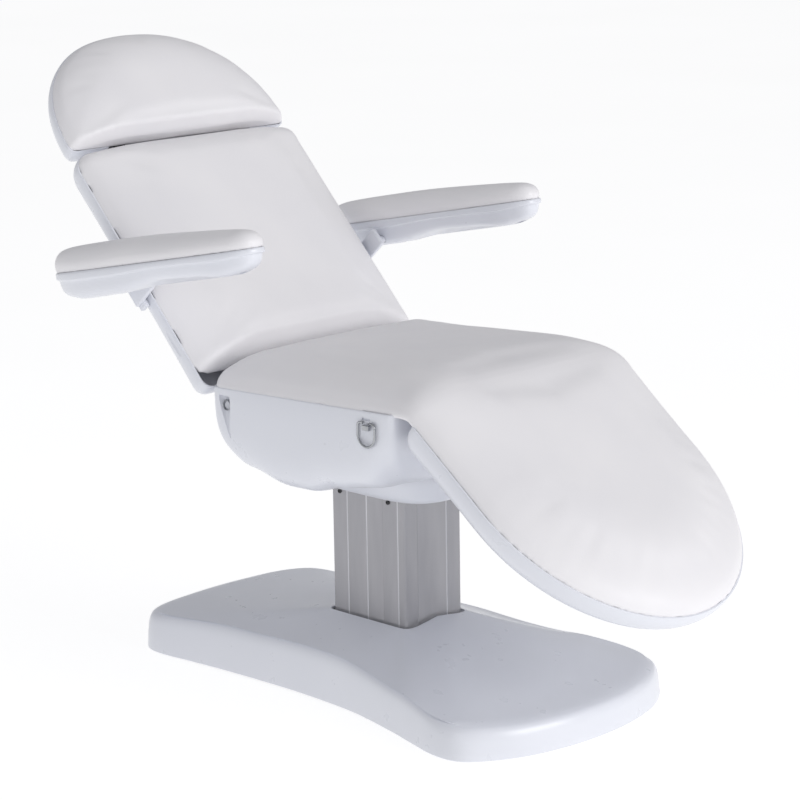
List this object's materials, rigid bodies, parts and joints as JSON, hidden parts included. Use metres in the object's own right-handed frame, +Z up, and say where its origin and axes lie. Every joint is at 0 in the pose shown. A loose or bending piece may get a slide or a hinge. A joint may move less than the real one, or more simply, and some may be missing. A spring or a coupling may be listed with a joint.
{
  "type": "facial treatment bed",
  "caption": "Electric facial treatment bed with reclining back, tilting head rest, lifting leg rest, swinging armrests, and a moulded base with a telescopic lifting column.",
  "frame": {"origin": "floor level, centre of the whole bed's plan box, under the column", "axes": "+X towards the foot end, +Y to the left of a person lying on the bed, +Z up"},
  "size_m": [1.5932, 0.8596, 1.2484],
  "materials": {
    "moulded_white": "satin gloss moulded shell, faintly cool white",
    "white_vinyl": "soft matte white vinyl over foam, fine grain",
    "aluminium": "satin anodised extrusion",
    "steel": "grey powder coat",
    "chrome": "bright chrome plate",
    "black_rubber": "matte",
    "grey_plastic": "matte grey plastic",
    "black_plastic": "matte black plastic"
  },
  "bodies": {
    "base": {"base_cover": "moulded_white", "base_plate": "steel", "foot_front_left": "black_rubber", "foot_front_right": "black_rubber", "foot_rear_left": "black_rubber", "foot_rear_right": "black_rubber", "control_box": "black_plastic", "mains_inlet": "black_plastic", "column_gasket": "black_rubber", "column_inner": "aluminium", "lift_actuator_housing": "grey_plastic"},
    "middle": {"column_middle": "aluminium", "upper_glide_ring": "black_plastic"},
    "carriage": {"column_outer": "aluminium", "column_top_plate": "steel", "column_screw_rear": "black_plastic", "column_screw_front": "black_plastic", "lift_actuator_rod": "chrome", "tilt_actuator_housing": "grey_plastic", "tilt_bracket": "steel", "bowl_cover": "moulded_white"},
    "tilt_rod": {"tilt_actuator_rod": "chrome"},
    "seat": {"seat_shell": "moulded_white", "seat_pad": "white_vinyl", "seat_plate_left": "steel", "seat_plate_right": "steel", "back_hinge_pin": "steel", "knee_hinge_pin": "steel", "seat_cross_tube": "steel", "back_actuator_housing": "grey_plastic", "leg_actuator_housing": "grey_plastic", "socket_left": "chrome", "socket_right": "chrome", "ring_bracket_left": "chrome", "ring_bracket_right": "chrome"},
    "back_rod": {"back_actuator_rod": "chrome"},
    "leg_rod": {"leg_actuator_rod": "chrome"},
    "back": {"back_shell": "moulded_white", "back_pad": "white_vinyl", "back_plate_left": "steel", "back_plate_right": "steel", "head_hinge_pin": "steel", "back_lever": "steel", "arm_bracket_left": "moulded_white", "arm_bracket_right": "moulded_white"},
    "head": {"head_shell": "moulded_white", "head_pad": "white_vinyl", "head_frame": "steel"},
    "leg": {"leg_shell": "moulded_white", "leg_pad": "white_vinyl", "leg_plate_left": "steel", "leg_plate_right": "steel", "leg_lever": "steel", "leg_grip": "grey_plastic"},
    "arm_left": {"arm_shell_left": "moulded_white", "arm_pad_left": "white_vinyl"},
    "arm_right": {"arm_shell_right": "moulded_white", "arm_pad_right": "white_vinyl"},
    "ring_left": {"handset_ring_left": "chrome"},
    "ring_right": {"handset_ring_right": "chrome"}
  },
  "joints": [
    {"name": "column_lift", "type": "slide", "parent": "base", "child": "carriage", "axis": [0, 0, 1], "range_m": [0, 0.28]},
    {"name": "middle_stage", "type": "slide", "parent": "base", "child": "middle", "axis": [0, 0, 1], "range_m": [0, 0.1401]},
    {"name": "seat_tilt", "type": "hinge", "parent": "carriage", "child": "seat", "pos_m": [-0.0604, 0, 0.492], "axis": [0, -1, 0], "range_deg": [0, 10]},
    {"name": "tilt_rod_slide", "type": "slide", "parent": "carriage", "child": "tilt_rod", "axis": [0, 0, 1], "range_m": [-0.0001, 0.0215]},
    {"name": "back_recline", "type": "hinge", "parent": "seat", "child": "back", "pos_m": [-0.2199, 0, 0.59], "axis": [0, 1, 0], "range_deg": [-47, 25]},
    {"name": "back_rod_slide", "type": "slide", "parent": "seat", "child": "back_rod", "axis": [1, 0, 0], "range_m": [-0.0236, 0.0441]},
    {"name": "leg_lift", "type": "hinge", "parent": "seat", "child": "leg", "pos_m": [0.3216, 0, 0.5824], "axis": [0, -1, 0], "range_deg": [-20, 38]},
    {"name": "leg_rod_slide", "type": "slide", "parent": "seat", "child": "leg_rod", "axis": [1, 0, 0], "range_m": [-0.02, 0.0378]},
    {"name": "head_tilt", "type": "hinge", "parent": "back", "child": "head", "pos_m": [-0.60864, 0, 1.00687], "axis": [0, 1, 0], "range_deg": [-35, 15]},
    {"name": "arm_left_swing", "type": "hinge", "parent": "back", "child": "arm_left", "pos_m": [-0.34926, 0.3745, 0.79617], "axis": [0, -1, 0], "range_deg": [-58, 75]},
    {"name": "arm_right_swing", "type": "hinge", "parent": "back", "child": "arm_right", "pos_m": [-0.34926, -0.3745, 0.79617], "axis": [0, -1, 0], "range_deg": [-58, 75]},
    {"name": "ring_left_swing", "type": "hinge", "parent": "seat", "child": "ring_left", "pos_m": [0.2431, 0.3062, 0.606], "axis": [1, 0, 0], "range_deg": [0, 80]},
    {"name": "ring_right_swing", "type": "hinge", "parent": "seat", "child": "ring_right", "pos_m": [0.2431, -0.3062, 0.606], "axis": [-1, 0, 0], "range_deg": [0, 80]}
  ],
  "couplings": [
    {"joint": "middle_stage", "follows": "column_lift", "ratio": 0.5},
    {"joint": "tilt_rod_slide", "follows": "seat_tilt", "m_per_rad": 0.122},
    {"joint": "back_rod_slide", "follows": "back_recline", "m_per_rad": -0.0535},
    {"joint": "leg_rod_slide", "follows": "leg_lift", "m_per_rad": 0.0566}
  ]
}
